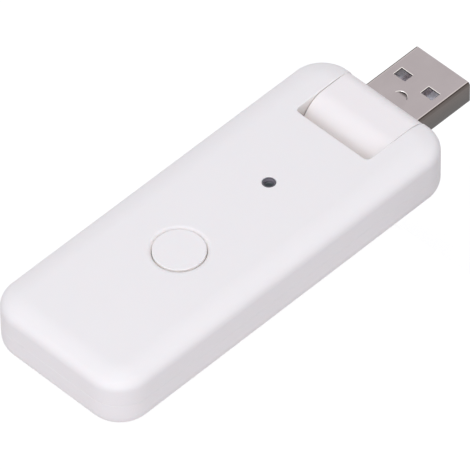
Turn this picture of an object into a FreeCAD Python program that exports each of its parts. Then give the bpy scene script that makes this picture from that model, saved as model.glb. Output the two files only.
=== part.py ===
import FreeCAD, Part
import math
import os
import re

import Sketcher
from FreeCAD import Placement, Rotation, Vector

# USB radio stick for a smart home: a flat two-part casing with a button and a status light, and a plug
# on a hinge head between two ears. +X points to the plug, +Z is up, and the origin is on the table,
# under the middle of the whole length. Sizes are in millimetres.

sizes = {
    # casing
    "case_length": 75.6,
    "case_height": 10.6,
    "corner_radius": 6.0,
    "shoulder_width": 3.0,
    "shoulder_drop": 0.95,
    "shoulder_radius": 8.8,
    "top_edge_radius": 1.8,
    "bottom_edge_radius": 2.6,
    "parting_edge_radius": 0.2,
    "wall": 1.5,
    "lip_height": 0.8,
    "lip_thickness": 0.6,
    "lip_clearance": 0.05,
    # slot between the ears
    "slot_back_clearance": 1.2,
    "slot_corner_radius": 0.9,
    "slot_edge_radius": 0.2,
    "ear_wall": 1.5,
    "ear_root": 0.2,
    # hinge
    "hinge_setback": 6.7,
    "head_clearance": 0.08,
    "head_drop": 0.1,
    "head_front_radius": 2.6,
    "head_side_radius": 0.22,
    "head_front_wall": 1.5,
    "head_side_wall": 1.32,
    "head_cover": 1.9,
    "head_pocket_back": 2.2,
    "head_pocket_side": 0.6,
    "flange_width": 0.8,
    "bearing_clearance": 0.05,
    "wire_bore_radius": 1.5,
    "flange_clearance": 0.5,
    "flange_thickness": 0.6,
    "washer_thickness": 0.4,
    "washer_clearance": 0.05,
    # plug
    "plug_reach": 12.5,
    "plug_inside": 4.5,
    "plug_width": 12.0,
    "plug_height": 4.5,
    "plug_sheet": 0.3,
    "plug_corner_radius": 0.6,
    "plug_fit": 0.05,
    "window_width": 2.45,
    "window_length": 1.85,
    "window_pitch": 6.0,
    "window_setback": 5.1,
    "latch_cover": 0.6,
    "latch_width": 2.4,
    "latch_length": 0.85,
    "latch_angle": 15.0,
    "latch_gap": 0.08,
    "latch_notch_clearance": 0.2,
    "latch_notch_depth": 0.6,
    "base_recess": 1.0,
    "mouth_depth": 9.0,
    "tongue_setback": 0.5,
    "tongue_clearance": 0.1,
    "tongue_corner_radius": 0.25,
    "contact_width": 1.0,
    "contact_thickness": 0.15,
    "contact_inner": 1.0,
    "contact_outer": 3.5,
    "contact_inner_setback": 2.4,
    "contact_outer_setback": 1.6,
    "contact_tail": 1.5,
    "plug_board_thickness": 0.8,
    "plug_board_width": 10.4,
    "plug_board_clearance": 0.2,
    "plug_board_rib": 4.0,
    # button
    "button_distance": 28.3,
    "button_radius": 4.35,
    "button_clearance": 0.07,
    "button_edge_radius": 0.15,
    "button_flange_width": 0.8,
    "button_flange_thickness": 0.7,
    "button_flange_clearance": 0.05,
    "button_stem_radius": 1.5,
    "button_hole_edge_radius": 0.8,
    # switch under the button
    "switch_side": 4.5,
    "switch_pocket_radius": 1.9,
    "switch_floor": 0.5,
    "switch_cover_thickness": 0.25,
    "plunger_radius": 1.25,
    "plunger_clearance": 0.1,
    "plunger_reach": 0.95,
    "plunger_flange_thickness": 0.35,
    "plunger_seat": 0.05,
    "dome_clearance": 0.15,
    "dome_gap": 0.1,
    "dome_rise": 0.4,
    "dome_thickness": 0.08,
    # status light
    "light_setback": 14.1,
    "light_hole_radius": 1.15,
    "light_hole_edge_radius": 0.15,
    "light_fit": 0.05,
    "light_recess": 0.15,
    "light_dish_depth": 0.9,
    "light_dish_wall": 0.2,
    "light_dish_foot_radius": 0.3,
    "light_flange_radius": 1.9,
    "light_flange_thickness": 0.8,
    "light_gap": 0.3,
    "status_led_length": 1.6,
    "status_led_width": 0.8,
    "status_led_height": 0.6,
    # main board
    "board_side_clearance": 0.8,
    "board_end_clearance": 0.5,
    "board_wire_space": 5.0,
    "board_thickness": 1.0,
    "board_height": 3.4,
    "peg_inset": 4.5,
    "peg_side_inset": 2.65,
    "peg_radius": 0.9,
    "peg_clearance": 0.1,
    "peg_reach": 1.6,
    "post_radius": 1.9,
    # radio module
    "module_inset": 0.8,
    "module_length": 18.0,
    "module_width": 14.0,
    "module_thickness": 0.8,
    "can_inset": 0.5,
    "can_length": 11.3,
    "can_width": 12.6,
    "can_height": 2.0,
    "can_sheet": 0.2,
    "antenna_inset": 0.6,
    "antenna_pitch": 1.6,
    "antenna_track": 0.5,
    "antenna_can_gap": 1.2,
    "antenna_thickness": 0.1,
    "antenna_legs": 7,
    "can_corner_radius": 0.4,
    "radio_chip_side": 7.0,
    "radio_chip_height": 0.9,
    # wires
    "wire_diameter": 0.6,
    "wire_gap": 0.04,
    "wire_rise": 0.05,
    "wire_split": 0.8,
    "wire_channel_clearance": 0.34,
    "wire_bend_share": 0.4,
    "wire_drop": 4.8,
    "pad_pitch": 1.3,
    "pad_row_inset": 3.4,
    "pad_inset": 1.3,
    "plug_pad_pitch": 1.4,
    "plug_pad_first": 3.8,
    "small_length": 1.0,
    "small_width": 0.5,
    "small_height": 0.5,
    "resistor_height": 0.35,
    "small_pitch": 1.8,
    "small_row_inset": 2.05,
    "small_row_setback": 26.0,
    "resistor_row": 2.2,
    "resistor_row_setback": 13.5,
    "leg_pitch": 1.27,
    "leg_width": 0.42,
    "leg_reach": 1.0,
    "leg_thickness": 0.25,
}

# Places along the stick and up it, each worked out from the sizes and from places above it
places = {
    "near_end": "-(case_length + plug_reach) / 2",
    "ear_end": "near_end + case_length",
    "plug_tip": "ear_end + plug_reach",
    "hinge_x": "ear_end - hinge_setback",
    "hinge_height": "case_height / 2",
    "ceiling": "case_height - wall",
    "shoulder_foot": "case_height - shoulder_drop",
    "head_radius": "hinge_height - head_drop",
    "head_pocket_half": "plug_width / 2 + head_pocket_side",
    "head_half": "head_pocket_half + head_side_wall",
    "slot_half": "head_half + head_clearance",
    "slot_width": "2 * slot_half",
    "slot_depth": "hinge_setback + head_radius + slot_back_clearance",
    "slot_wall": "ear_end - slot_depth",
    "flange_radius": "hinge_height - wall - flange_clearance",
    "journal_radius": "flange_radius - flange_width",
    "flange_start": "slot_half + ear_wall + washer_thickness + washer_clearance",
    "flange_end": "flange_start + flange_thickness",
    "wire_pitch": "wire_diameter + wire_gap",
    "half_width": "flange_end + 4 * wire_pitch + wire_channel_clearance + wall",
    "case_width": "2 * half_width",
    "button_x": "near_end + button_distance",
    "button_hole_radius": "button_radius + button_clearance",
    "bearing_radius": "journal_radius + bearing_clearance",
    "light_x": "slot_wall - light_setback",
    "board_start": "near_end + wall + board_end_clearance",
    "board_end": "slot_wall - wall - board_wire_space",
    "board_length": "board_end - board_start",
    "board_top": "board_height + board_thickness",
    "board_half_width": "half_width - wall - board_side_clearance",
    "board_corner_radius": "corner_radius - wall - board_end_clearance",
    "dome_radius": "switch_pocket_radius - dome_clearance",
    "switch_height": "switch_floor + dome_rise + dome_gap + plunger_flange_thickness + plunger_seat",
    "switch_top": "board_top + switch_height + switch_cover_thickness",
    "plunger_top": "switch_top + plunger_reach",
    "plunger_flange_radius": "switch_pocket_radius - plunger_clearance",
    "plunger_foot": "board_top + switch_height - plunger_flange_thickness - plunger_seat",
    "module_start": "board_start + module_inset",
    "module_top": "board_top + module_thickness",
    "can_start": "module_start + module_length - can_inset - can_length",
    "antenna_reach": "can_start - module_start - antenna_inset - antenna_can_gap",
    "head_pocket_height": "head_radius - head_cover",
    "head_pocket_start": "hinge_x - head_pocket_back",
    "head_pocket_end": "ear_end - head_front_wall",
    "plug_back": "ear_end - plug_inside",
    "plug_inner_width": "plug_width - 2 * plug_sheet",
    "plug_inner_height": "plug_height - 2 * plug_sheet",
    "base_back": "plug_back + base_recess",
    "base_front": "plug_tip - mouth_depth",
    "latch_start": "base_front - latch_cover",
    "plug_board_start": "head_pocket_start + plug_board_clearance",
    "wire_height": "hinge_height + wire_diameter / 2 + wire_rise",
}

# Pieces in two rows on the main board, counted from its far end: each one's gap to the one before it
chips = {
    "ferrite_bead": {"gap": 6.9, "across": -6.0, "length": 3.2, "width": 1.6, "height": 1.1},
    "usb_bridge_chip": {"gap": 2.4, "across": -6.0, "length": 5.0, "width": 5.0, "height": 0.9},
    "flash_memory": {"gap": 1.55, "across": -6.5, "length": 4.9, "width": 3.9, "height": 1.5},
    "tantalum_capacitor": {"gap": 6.25, "across": 5.5, "length": 3.5, "width": 2.8, "height": 1.9},
    "voltage_regulator": {"gap": 2.75, "across": 6.5, "length": 3.0, "width": 1.6, "height": 1.1},
    "crystal_can": {"gap": 3.5, "across": 6.5, "length": 5.0, "width": 3.2, "height": 1.1},
}
chip_rows = (
    ("ferrite_bead", "usb_bridge_chip", "flash_memory"),
    ("tantalum_capacitor", "voltage_regulator", "crystal_can"),
)
for chip, chip_sizes in chips.items():
    for size_name, value in chip_sizes.items():
        sizes[chip + "_" + size_name] = value
for chip_row in chip_rows:
    before = "board_end"
    for chip in chip_row:
        places[chip + "_start"] = f"{before} - {chip}_gap - {chip}_length"
        before = chip + "_start"

document = FreeCAD.newDocument("usb_radio_stick")
axis_turns = {
    "X": Rotation(Vector(0, 1, 0), 90),
    "Y": Rotation(Vector(1, 0, 0), -90),
    "Z": Rotation(),
}
small = 1e-4
overrun = 0.5  # how far a cut runs past the face that it opens
nodes = []


def formula(words):
    """The expression that a property takes, for sizes and places written by name."""

    def swap(match):
        name = match.group(0)
        if name in places:
            return "places." + name
        return "sizes." + name if name in sizes else name

    return re.sub(r"[a-z][a-z0-9_]*", swap, str(words))


def fill_sheet(name, values):
    sheet = document.addObject("Spreadsheet::Sheet", name)
    for row, (alias, value) in enumerate(values.items(), 1):
        sheet.set(f"A{row}", alias)
        sheet.set(f"B{row}", value)
        sheet.setAlias(f"B{row}", alias)
    return sheet


fill_sheet("sizes", {name: str(value) for name, value in sizes.items()})
place_sheet = fill_sheet("places", {name: "" for name in places})
for row, words in enumerate(places.values(), 1):
    place_sheet.set(f"B{row}", "=" + formula(words).replace("places.", ""))
spare_sheet = document.addObject("Spreadsheet::Sheet", "spare")
document.recompute()


def number(words):
    """The value of a formula now, worked out in a sheet that nothing else reads."""
    spare_sheet.set("A1", "=" + formula(words))
    spare_sheet.recompute()
    return float(spare_sheet.get("A1"))


def bind(thing, **values):
    for name, words in values.items():
        thing.setExpression(name, formula(str(words)))


def put(thing, x, y, z):
    for letter, words in zip("xyz", (x, y, z)):
        thing.setExpression("Placement.Base." + letter, formula(str(words)))


def new_body(name):
    body = document.addObject("PartDesign::Body", name)
    body.Label = name
    nodes.append(body)
    return body


def add_block(body, name, corner, length, width, height, cut=False):
    kind = "PartDesign::SubtractiveBox" if cut else "PartDesign::AdditiveBox"
    block = body.newObject(kind, name)
    bind(block, Length=length, Width=width, Height=height)
    put(block, *corner)
    return block


def add_round(body, name, centre, radius, height, axis="Z", cut=False):
    kind = "PartDesign::SubtractiveCylinder" if cut else "PartDesign::AdditiveCylinder"
    cylinder = body.newObject(kind, name)
    cylinder.Placement = Placement(Vector(), axis_turns[axis])
    bind(cylinder, Radius=radius, Height=height)
    put(cylinder, *centre)
    return cylinder


def work_edges(body, name, kind, wanted, **values):
    """Rounds or bevels those edges of the body so far whose bounding box passes the test."""
    document.recompute()
    base = body.Tip
    edges = [f"Edge{i}" for i, edge in enumerate(base.Shape.Edges, 1) if wanted(edge.BoundBox)]
    if not edges:
        raise RuntimeError(f"{body.Label}: no edges for {name}")
    feature = body.newObject("PartDesign::" + kind, name)
    feature.Base = (base, edges)
    bind(feature, **values)
    document.recompute()
    return feature


def round_edges(body, name, radius, wanted):
    return work_edges(body, name, "Fillet", wanted, Radius=radius)


def new_sketch(body, name, plane, shift, turn=Rotation()):
    """A sketch on one of the body's own origin planes, moved by the shift in that plane's own axes."""
    sketch = body.newObject("Sketcher::SketchObject", name)
    support = [item for item in body.Origin.OriginFeatures if item.Role == plane][0]
    sketch.AttachmentSupport = (support, "")
    sketch.MapMode = "FlatFace"
    sketch.AttachmentOffset = Placement(Vector(), turn)
    for letter, words in zip("xyz", shift):
        sketch.setExpression("AttachmentOffset.Base." + letter, formula(words))
    return sketch


def measure(sketch, kind, name, words, *geometry):
    """A constraint that takes its value from the sizes."""
    index = sketch.addConstraint(Sketcher.Constraint(kind, *geometry, number(words)))
    sketch.renameConstraint(index, name)
    sketch.setExpression("Constraints." + name, formula(words))


def rounded_rectangle(body, name, plane, shift, length, width, radius):
    """A rectangle with four round corners, from its own lower left corner."""
    sketch = new_sketch(body, name, plane, shift)
    right, top, step = number(length), number(width), number(radius)
    sides = [
        ((step, 0), (right - step, 0)),
        ((right, step), (right, top - step)),
        ((right - step, top), (step, top)),
        ((0, top - step), (0, step)),
    ]
    centres = [(right - step, step), (right - step, top - step), (step, top - step), (step, step)]
    for start, end in sides:
        sketch.addGeometry(Part.LineSegment(Vector(*start), Vector(*end)))
    for quarter, centre in enumerate(centres):
        circle = Part.Circle(Vector(*centre), Vector(0, 0, 1), step)
        sketch.addGeometry(Part.ArcOfCircle(circle, (quarter - 1) * math.pi / 2, quarter * math.pi / 2))
    for side in range(4):
        corner, next_side = 4 + side, (side + 1) % 4
        sketch.addConstraint(Sketcher.Constraint("Tangent", side, 2, corner, 1))
        sketch.addConstraint(Sketcher.Constraint("Tangent", corner, 2, next_side, 1))
        sketch.addConstraint(Sketcher.Constraint("Vertical" if side % 2 else "Horizontal", side))
    for corner in (4, 5, 6):
        sketch.addConstraint(Sketcher.Constraint("Equal", corner, corner + 1))
    sketch.addConstraint(Sketcher.Constraint("PointOnObject", 0, 1, -1))
    sketch.addConstraint(Sketcher.Constraint("PointOnObject", 3, 1, -2))
    measure(sketch, "DistanceX", "across", length, -1, 1, 1, 1)
    measure(sketch, "DistanceY", "upward", width, -1, 1, 2, 1)
    measure(sketch, "Radius", "corner", radius, 4)
    return sketch


def extrude(body, name, sketch, length, cut=False):
    """A pad or a pocket towards the sketch plane's positive side."""
    feature = body.newObject("PartDesign::Pocket" if cut else "PartDesign::Pad", name)
    feature.Profile = sketch
    feature.Reversed = cut
    bind(feature, Length=length)
    return feature


def near(a, b):
    return abs(a - b) < small


def upright(box):
    return box.XLength < small and box.YLength < small and box.ZLength > small


def level(box, z):
    return near(box.ZMin, z) and near(box.ZMax, z)


# Casing


def round_shoulder(body):
    """The top slopes a little before its edge: a flat bevel with a wide round above and a tight one below."""
    top_z, foot_z = number("case_height"), number("shoulder_foot")
    slope = {"Size": "shoulder_drop", "Size2": "shoulder_width"}
    bevel = work_edges(body, "shoulder", "Chamfer", lambda box: level(box, top_z), **slope)
    bevel.ChamferType = "Two distances"
    round_edges(body, "top_edge", "top_edge_radius", lambda box: level(box, foot_z))
    round_edges(body, "shoulder_top", "shoulder_radius", lambda box: level(box, top_z))


def casing_half(body, bottom, height, upper):
    """One half of the casing: rounded block, hollow, a housing for the slot, the slot and its bearings."""
    name = body.Label
    shift = ("near_end", "-half_width", bottom)
    footprint = ("case_length", "case_width", "corner_radius")
    outline = rounded_rectangle(body, name + "_outline", "XY_Plane", shift, *footprint)
    extrude(body, name + "_block", outline, height)
    outer_z = number("case_height" if upper else "0")
    if upper:
        round_shoulder(body)
    else:
        parting_z = number("hinge_height")
        round_edges(body, "bottom_edge", "bottom_edge_radius", lambda box: level(box, outer_z))
        round_edges(body, "parting_edge", "parting_edge_radius", lambda box: level(box, parting_z))

    low = "(hinge_height - lip_height)" if upper else "wall"
    high = "ceiling" if upper else f"(hinge_height + {overrun})"
    shift = ("near_end + wall", "wall - half_width", low)
    hollow = ("case_length - 2 * wall", "case_width - 2 * wall", "corner_radius - wall")
    outline = rounded_rectangle(body, name + "_hollow", "XY_Plane", shift, *hollow)
    extrude(body, name + "_hollow_cut", outline, f"{high} - {low}", cut=True)

    if upper:
        side = "(slot_half + ear_wall + lip_clearance)"
        corner = ("slot_wall", f"-{side}", f"hinge_height - lip_height - {overrun}")
        beside_ears = ("slot_depth - wall + lip_clearance", f"2 * {side}", f"lip_height + {overrun}")
        add_block(body, "lip_trim", corner, *beside_ears, cut=True)
    else:
        foot = "hinge_height - lip_height - lip_clearance"
        outline = lip_outline(body, "rebate", "(lip_thickness + lip_clearance)", foot)
        extrude(body, "rebate_cut", outline, f"lip_height + lip_clearance + {overrun}", cut=True)

    low = "hinge_height" if upper else "(wall - ear_root)"
    high = "(ceiling + ear_root)" if upper else "hinge_height"
    corner = ("slot_wall - wall", "-(slot_half + ear_wall)", low)
    housing = ("slot_depth", "2 * (slot_half + ear_wall)", f"{high} - {low}")
    add_block(body, name + "_housing", corner, *housing)

    slot_start = ("slot_wall", "-slot_half", f"{bottom} - lip_height - {overrun}")
    slot_sizes = (f"slot_depth + {overrun}", "slot_width", f"{height} + lip_height + {2 * overrun}")
    add_block(body, name + "_slot", slot_start, *slot_sizes, cut=True)
    wall_x, wall_y, hinge_x = number("slot_wall"), number("slot_half"), number("hinge_x")

    def slot_corner(box):
        return upright(box) and near(box.XMin, wall_x) and near(abs(box.YMin), wall_y)

    def slot_rim(box):
        inside = box.XMin > wall_x - small and max(-box.YMin, box.YMax) < wall_y + small
        on_ear = box.YLength < small and near(abs(box.YMin), wall_y)
        at_end = on_ear and box.XMin > hinge_x and box.ZLength > small
        return (inside and level(box, outer_z)) or at_end

    round_edges(body, name + "_slot_corners", "slot_corner_radius", slot_corner)
    round_edges(body, name + "_slot_rim", "slot_edge_radius", slot_rim)
    reach = f"(slot_half + ear_wall + {overrun})"
    start = ("hinge_x", f"-{reach}", "hinge_height")
    add_round(body, name + "_bearings", start, "bearing_radius", f"2 * {reach}", "Y", cut=True)


def peg_places():
    reach = "(board_half_width - peg_side_inset)"
    for end, x in (("near", "board_start + peg_inset"), ("far", "board_end - peg_inset")):
        for side, y in (("left", reach), ("right", "-" + reach)):
            yield f"{end}_{side}", x, y


def lip_outline(body, name, thickness, bottom):
    """The line along the middle of the wall where the halves of the casing plug into each other."""
    shift = (f"near_end + wall - {thickness}", f"wall - {thickness} - half_width", bottom)
    length = f"case_length - 2 * wall + 2 * {thickness}"
    width = f"case_width - 2 * wall + 2 * {thickness}"
    radius = f"corner_radius - wall + {thickness}"
    return rounded_rectangle(body, name, "XY_Plane", shift, length, width, radius)


def make_top_shell():
    body = new_body("top_shell")
    outline = lip_outline(body, "lip_outline", "lip_thickness", "hinge_height - lip_height")
    extrude(body, "lip", outline, "lip_height")
    casing_half(body, "hinge_height", "(case_height - hinge_height)", upper=True)
    for place, x, y in peg_places():
        pillar = ("post_radius", "case_height - board_top - wall / 2")
        add_round(body, "pillar_" + place, (x, y, "board_top"), *pillar)
        socket = ("peg_radius + peg_clearance", "peg_reach + peg_clearance")
        add_round(body, "socket_" + place, (x, y, "board_top"), *socket, cut=True)
    top = number("case_height")
    for thing in ("button", "light"):
        x, radius = f"{thing}_x", f"{thing}_hole_radius"
        start = (x, 0, f"ceiling - {overrun}")
        add_round(body, f"{thing}_hole", start, radius, f"wall + {2 * overrun}", cut=True)
        middle, across = number(x), number(f"2 * {radius}")

        def hole_rim(box):
            return level(box, top) and near(box.Center.x, middle) and near(box.XLength, across)

        round_edges(body, f"{thing}_hole_rim", f"{thing}_hole_edge_radius", hole_rim)


def make_bottom_shell():
    body = new_body("bottom_shell")
    casing_half(body, "0", "hinge_height", upper=False)
    for place, x, y in peg_places():
        add_round(body, "post_" + place, (x, y, "wall / 2"), "post_radius", "board_height - wall / 2")
        add_round(body, "peg_" + place, (x, y, "wall"), "peg_radius", "board_top - wall + peg_reach")


# Button, its switch and the status light


def make_button_cap():
    body = new_body("button_cap")
    flange_top = "ceiling - button_flange_clearance"
    flange_bottom = f"({flange_top} - button_flange_thickness)"
    stem = ("button_stem_radius", "case_height - plunger_top - wall / 2")
    add_round(body, "stem", ("button_x", 0, "plunger_top"), *stem)
    flange = ("button_hole_radius + button_flange_width", "button_flange_thickness")
    add_round(body, "button_flange", ("button_x", 0, flange_bottom), *flange)
    face = ("button_radius", f"case_height - {flange_bottom}")
    add_round(body, "button_face", ("button_x", 0, flange_bottom), *face)
    top = number("case_height")
    round_edges(body, "button_edge", "button_edge_radius", lambda box: level(box, top))


def make_switch():
    base = new_body("switch_base")
    corner = ("button_x - switch_side / 2", "-switch_side / 2", "board_top")
    add_block(base, "switch_block", corner, "switch_side", "switch_side", "switch_height")
    start = ("button_x", 0, "board_top + switch_floor")
    add_round(base, "dome_pocket", start, "switch_pocket_radius", "switch_height", cut=True)

    cover = new_body("switch_cover")
    corner = ("button_x - switch_side / 2", "-switch_side / 2", "board_top + switch_height")
    add_block(cover, "cover_plate", corner, "switch_side", "switch_side", "switch_cover_thickness")
    hole = ("plunger_radius + plunger_clearance", f"switch_height + switch_cover_thickness + {overrun}")
    add_round(cover, "plunger_hole", ("button_x", 0, "board_top"), *hole, cut=True)

    plunger = new_body("switch_plunger")
    start = ("button_x", 0, "plunger_foot")
    add_round(plunger, "plunger_flange", start, "plunger_flange_radius", "plunger_flange_thickness")
    add_round(plunger, "plunger_stem", start, "plunger_radius", "plunger_top - plunger_foot")

    # the snap dome is the cap of a thin ball, cut off at the pocket's floor
    dome = new_body("switch_dome")
    ball_radius = "((dome_radius * dome_radius + dome_rise * dome_rise) / (2 * dome_rise))"
    floor = "(board_top + switch_floor)"
    centre = ("button_x", 0, f"{floor} + dome_rise - {ball_radius}")
    outside = ("dome_ball", "Additive", ball_radius)
    inside = ("dome_inside", "Subtractive", f"{ball_radius} - dome_thickness")
    for name, kind, radius in (outside, inside):
        ball = dome.newObject(f"PartDesign::{kind}Sphere", name)
        bind(ball, Radius=radius)
        put(ball, *centre)
    corner = (f"button_x - {ball_radius}", f"-{ball_radius}", f"{floor} - 2 * {ball_radius}")
    below = (f"2 * {ball_radius}",) * 3
    add_block(dome, "below_dome", corner, *below, cut=True)


def make_light():
    pipe = new_body("light_pipe")
    foot = "(board_top + status_led_height + light_gap)"
    round_bar = ("light_hole_radius - light_fit", f"case_height - light_recess - {foot}")
    add_round(pipe, "pipe", ("light_x", 0, foot), *round_bar)
    start = ("light_x", 0, "ceiling - light_flange_thickness")
    add_round(pipe, "pipe_flange", start, "light_flange_radius", "light_flange_thickness")
    floor = "case_height - light_recess - light_dish_depth"
    dish = ("light_hole_radius - light_fit - light_dish_wall", f"light_dish_depth + {overrun}")
    add_round(pipe, "pipe_dish", ("light_x", 0, floor), *dish, cut=True)
    dish_z = number(floor)
    round_edges(pipe, "dish_foot", "light_dish_foot_radius", lambda box: level(box, dish_z))


# Board and what is soldered to it


def make_board():
    body = new_body("main_board")
    shift = ("board_start", "-board_half_width", "board_height")
    footprint = ("board_length", "2 * board_half_width", "board_corner_radius")
    outline = rounded_rectangle(body, "board_outline", "XY_Plane", shift, *footprint)
    extrude(body, "board_plate", outline, "board_thickness")
    for place, x, y in peg_places():
        start = (x, y, f"board_height - {overrun}")
        hole = ("peg_radius + peg_clearance", f"board_thickness + {2 * overrun}")
        add_round(body, "peg_hole_" + place, start, *hole, cut=True)


def make_chips():
    for name in chips:
        body = new_body(name)
        corner = (f"{name}_start", f"{name}_across - {name}_width / 2", "board_top")
        block = (f"{name}_length", f"{name}_width", f"{name}_height")
        add_block(body, name + "_block", corner, *block)
    body = new_body("status_led")
    corner = ("light_x - status_led_length / 2", "-status_led_width / 2", "board_top")
    add_block(body, "led_block", corner, "status_led_length", "status_led_width", "status_led_height")


def group_of_blocks(name, corners, length, width, height):
    """Several like pieces that lie apart, kept as one node of separate solids."""
    blocks = []
    for count, corner in enumerate(corners, 1):
        block = document.addObject("Part::Box", f"{name}_{count}")
        bind(block, Length=length, Width=width, Height=height)
        put(block, *corner)
        blocks.append(block)
    group = document.addObject("Part::Compound", name)
    group.Label = name
    group.Links = blocks
    nodes.append(group)


def make_small_parts():
    def rows(setback, across, count):
        start_x, edge = f"board_end - {setback}", f"({across} - small_width / 2)"
        sides = (edge, f"-{edge} - small_width")
        return [(f"{start_x} + small_pitch * {i}", y, "board_top") for y in sides for i in range(count)]

    capacitors = rows("small_row_setback", "board_half_width - small_row_inset", 4)
    group_of_blocks("ceramic_capacitors", capacitors, "small_length", "small_width", "small_height")
    resistors = rows("resistor_row_setback", "resistor_row", 3)
    group_of_blocks("chip_resistors", resistors, "small_length", "small_width", "resistor_height")
    legs = []
    for i in range(4):
        x = f"flash_memory_start + (flash_memory_length - leg_width) / 2 + {i - 1.5} * leg_pitch"
        legs.append((x, "flash_memory_across + flash_memory_width / 2", "board_top"))
        legs.append((x, "flash_memory_across - flash_memory_width / 2 - leg_reach", "board_top"))
    group_of_blocks("flash_legs", legs, "leg_width", "leg_reach", "leg_thickness")


def make_radio_module():
    board = new_body("radio_board")
    corner = ("module_start", "-module_width / 2", "board_top")
    add_block(board, "module_plate", corner, "module_length", "module_width", "module_thickness")

    chip = new_body("radio_chip")
    start = ("can_start + (can_length - radio_chip_side) / 2", "-radio_chip_side / 2", "module_top")
    add_block(chip, "radio_chip_block", start, "radio_chip_side", "radio_chip_side", "radio_chip_height")

    can = new_body("shield_can")
    shift = ("can_start", "-can_width / 2", "module_top")
    footprint = ("can_length", "can_width", "can_corner_radius")
    outline = rounded_rectangle(can, "can_outline", "XY_Plane", shift, *footprint)
    extrude(can, "can_box", outline, "can_height")
    corner = ("can_start + can_sheet", "can_sheet - can_width / 2", f"module_top - {overrun}")
    inside = ("can_length - 2 * can_sheet", "can_width - 2 * can_sheet")
    add_block(can, "can_inside", corner, *inside, f"can_height - can_sheet + {overrun}", cut=True)

    # the aerial is a track that runs to and fro at the module's near end
    aerial = new_body("aerial_track")
    first = "(-(antenna_legs - 1) * antenna_pitch / 2 - antenna_track / 2)"
    legs = sizes["antenna_legs"]
    for i in range(legs):
        y = f"{first} + antenna_pitch * {i}"
        corner = ("module_start + antenna_inset", y, "module_top")
        add_block(aerial, f"aerial_leg_{i}", corner, "antenna_reach", "antenna_track", "antenna_thickness")
        if i < legs - 1:
            x = "module_start + antenna_inset" + (" + antenna_reach - antenna_track" if i % 2 else "")
            joint = ("antenna_track", "antenna_pitch + antenna_track", "antenna_thickness")
            add_block(aerial, f"aerial_turn_{i}", (x, y, "module_top"), *joint)


# Hinge head


def make_head_half(name, upper):
    """Half of the hinge head, cut level with the hinge: round back, flat face, hollow for the plug."""
    body = new_body(name)
    sketch = new_sketch(body, name + "_profile", "XZ_Plane", ("hinge_x", "hinge_height", "-head_half"))
    radius, setback = number("head_radius"), number("hinge_setback")
    rise = radius if upper else -radius
    corners = [Vector(-radius, 0), Vector(0, rise), Vector(setback, rise), Vector(setback, 0)]
    first_angle = math.pi / 2 if upper else math.pi
    circle = Part.Circle(Vector(), Vector(0, 0, 1), radius)
    sketch.addGeometry(Part.ArcOfCircle(circle, first_angle, first_angle + math.pi / 2))
    for start, end in zip(corners[1:], corners[2:] + corners[:1]):
        sketch.addGeometry(Part.LineSegment(start, end))
    top_point, back_point = (1, 2) if upper else (2, 1)
    sketch.addConstraint(Sketcher.Constraint("Coincident", 0, 3, -1, 1))
    sketch.addConstraint(Sketcher.Constraint("Tangent", 0, top_point, 1, 1))
    sketch.addConstraint(Sketcher.Constraint("Coincident", 1, 2, 2, 1))
    sketch.addConstraint(Sketcher.Constraint("Coincident", 2, 2, 3, 1))
    sketch.addConstraint(Sketcher.Constraint("Coincident", 3, 2, 0, back_point))
    sketch.addConstraint(Sketcher.Constraint("Horizontal", 1))
    sketch.addConstraint(Sketcher.Constraint("Vertical", 2))
    sketch.addConstraint(Sketcher.Constraint("PointOnObject", 3, 1, -1))
    sketch.addConstraint(Sketcher.Constraint("PointOnObject", 3, 2, -1))
    measure(sketch, "Radius", "back_radius", "head_radius", 0)
    measure(sketch, "DistanceX", "setback", "hinge_setback", -1, 1, 2, 1)
    extrude(body, name + "_block", sketch, "2 * head_half")
    front_x, side_y, seam_z = number("ear_end"), number("head_half"), number("hinge_height")

    def front_edge(box):
        return near(box.XMin, front_x) and box.YLength > side_y and not level(box, seam_z)

    def side_edge(box):
        return (near(box.YMin, side_y) or near(box.YMax, -side_y)) and not level(box, seam_z)

    round_edges(body, name + "_front", "head_front_radius", front_edge)
    round_edges(body, name + "_sides", "head_side_radius", side_edge)

    low = "hinge_height" if upper else "(hinge_height - head_pocket_height)"
    corner = ("head_pocket_start", "-head_pocket_half", low)
    inside = ("head_pocket_end - head_pocket_start", "2 * head_pocket_half", "head_pocket_height")
    add_block(body, name + "_pocket", corner, *inside, cut=True)
    half_height = "(plug_height / 2 + plug_fit)"
    low = "hinge_height" if upper else f"(hinge_height - {half_height})"
    corner = (f"head_pocket_end - {overrun}", "-(plug_width / 2 + plug_fit)", low)
    mouth = (f"head_front_wall + {2 * overrun}", "plug_width + 2 * plug_fit", half_height)
    add_block(body, name + "_mouth", corner, *mouth, cut=True)
    if not upper:
        foot = f"hinge_height - head_pocket_height - {overrun}"
        length = "plug_back - plug_board_start - plug_board_clearance"
        height = f"head_pocket_height - plug_board_thickness + {overrun}"
        corner = ("plug_board_start", "-plug_board_rib / 2", foot)
        add_block(body, "board_rib", corner, length, "plug_board_rib", height)

    # the two journals are half round, and each ends in a half flange behind its washer
    turn = Rotation(Vector(1, 0, 0), 90 if upper else -90)
    journal = ("journal", "journal_radius", "head_pocket_half")
    flange = ("flange", "flange_radius", "flange_start")
    for kind, radius, inner in (journal, flange):
        left, right = ("flange_end", "-" + inner) if upper else (inner, "-flange_end")
        for side, start_y in (("left", left), ("right", right)):
            half = body.newObject("PartDesign::AdditiveCylinder", f"{name}_{kind}_{side}")
            half.Placement = Placement(Vector(), turn)
            half.Angle = 180
            bind(half, Radius=radius, Height=f"flange_end - {inner}")
            put(half, "hinge_x", start_y, "hinge_height")
    reach = f"(flange_end + {overrun})"
    start = ("hinge_x", f"-{reach}", "hinge_height")
    add_round(body, name + "_wire_bore", start, "wire_bore_radius", f"2 * {reach}", "Y", cut=True)


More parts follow.
